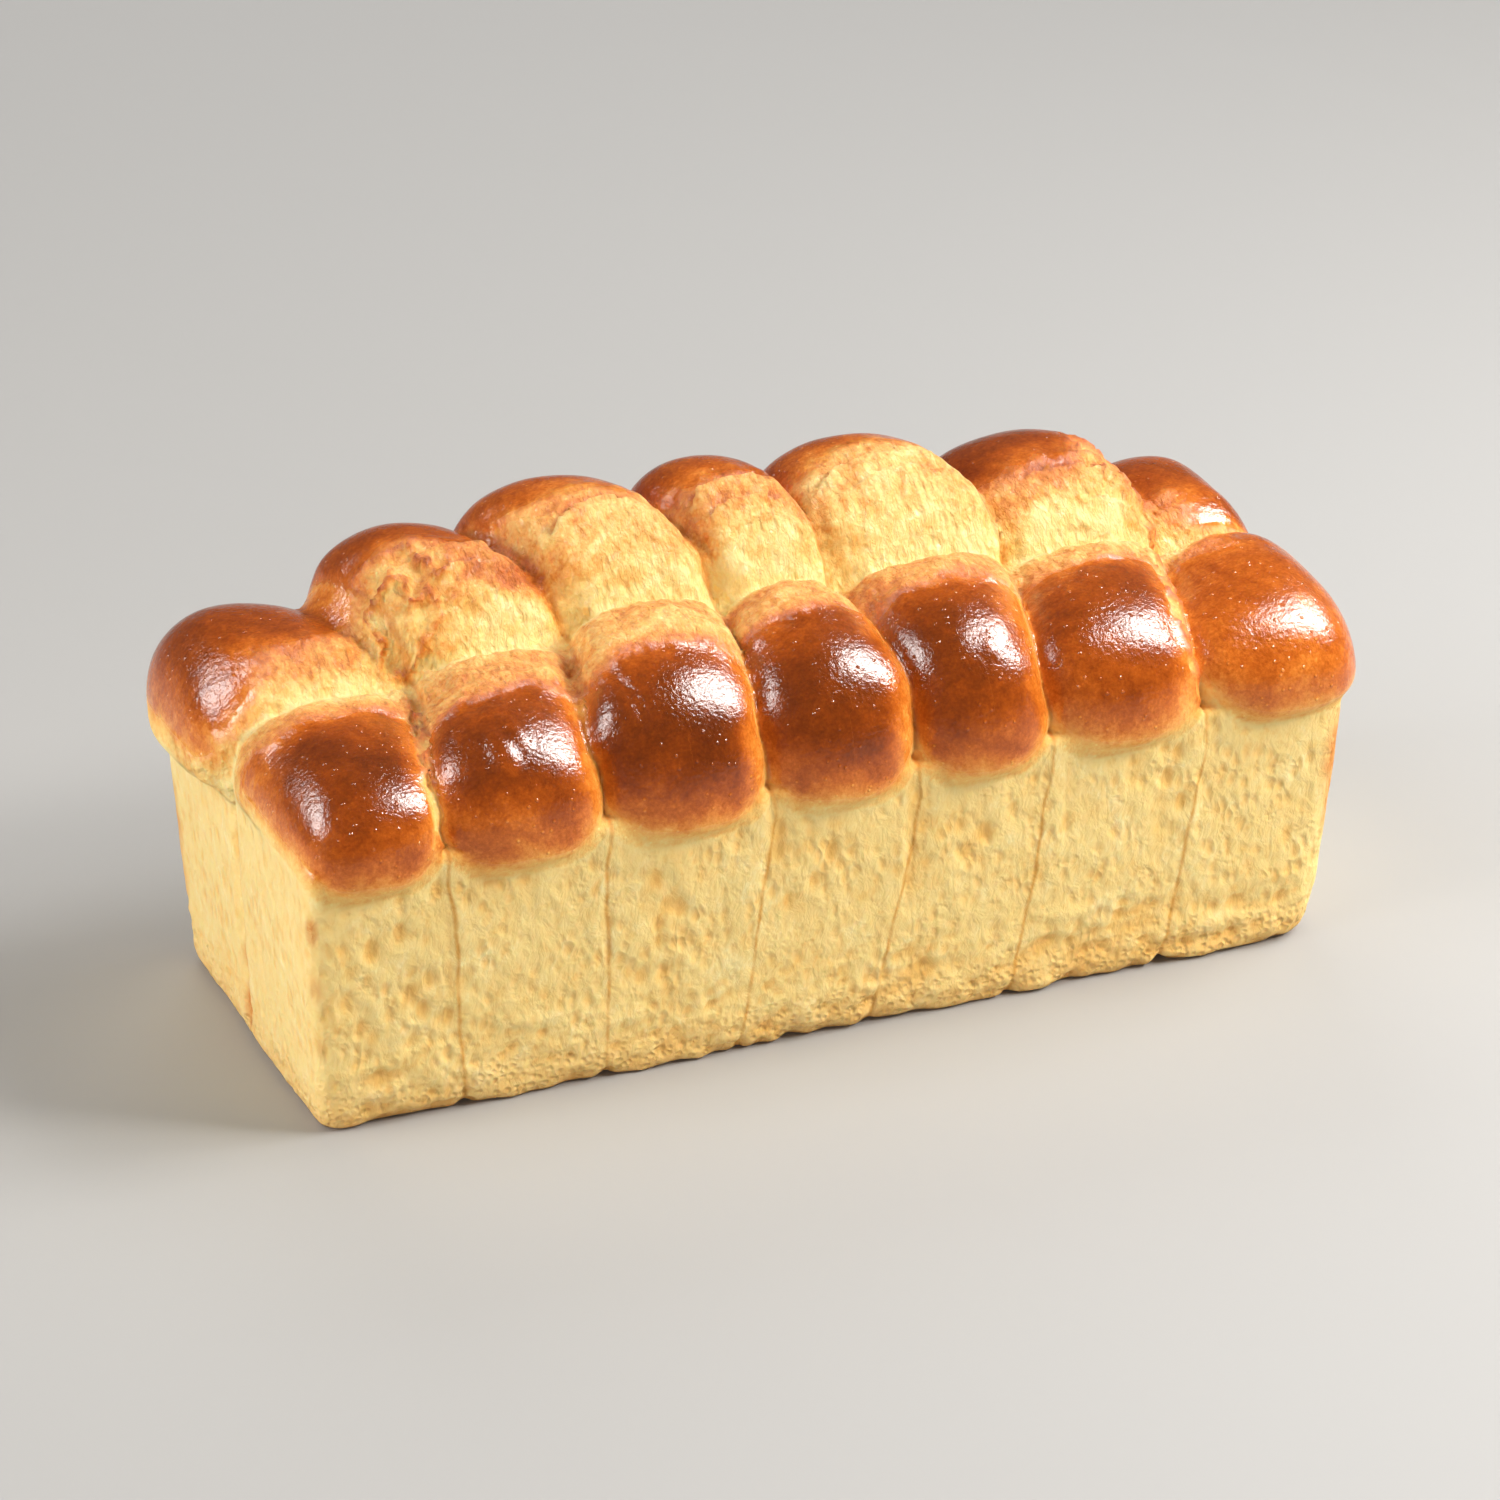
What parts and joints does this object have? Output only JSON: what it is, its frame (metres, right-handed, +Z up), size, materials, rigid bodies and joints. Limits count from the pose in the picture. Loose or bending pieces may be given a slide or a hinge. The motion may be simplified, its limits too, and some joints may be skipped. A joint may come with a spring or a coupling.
{
  "type": "brioche loaf",
  "caption": "Pan-baked brioche loaf of dough balls risen together in two rows, with a glossy browned crown and pale straight tin sides.",
  "frame": {"origin": "centre of the flat underside, under the middle of the loaf's bounding box", "axes": "+X along the loaf's length, +Y across it towards the taller row of pillows, +Z up"},
  "size_m": [0.327, 0.134, 0.135],
  "materials": {
    "crust": "satin"
  },
  "bodies": {
    "root": {"loaf": "crust"}
  },
  "joints": []
}
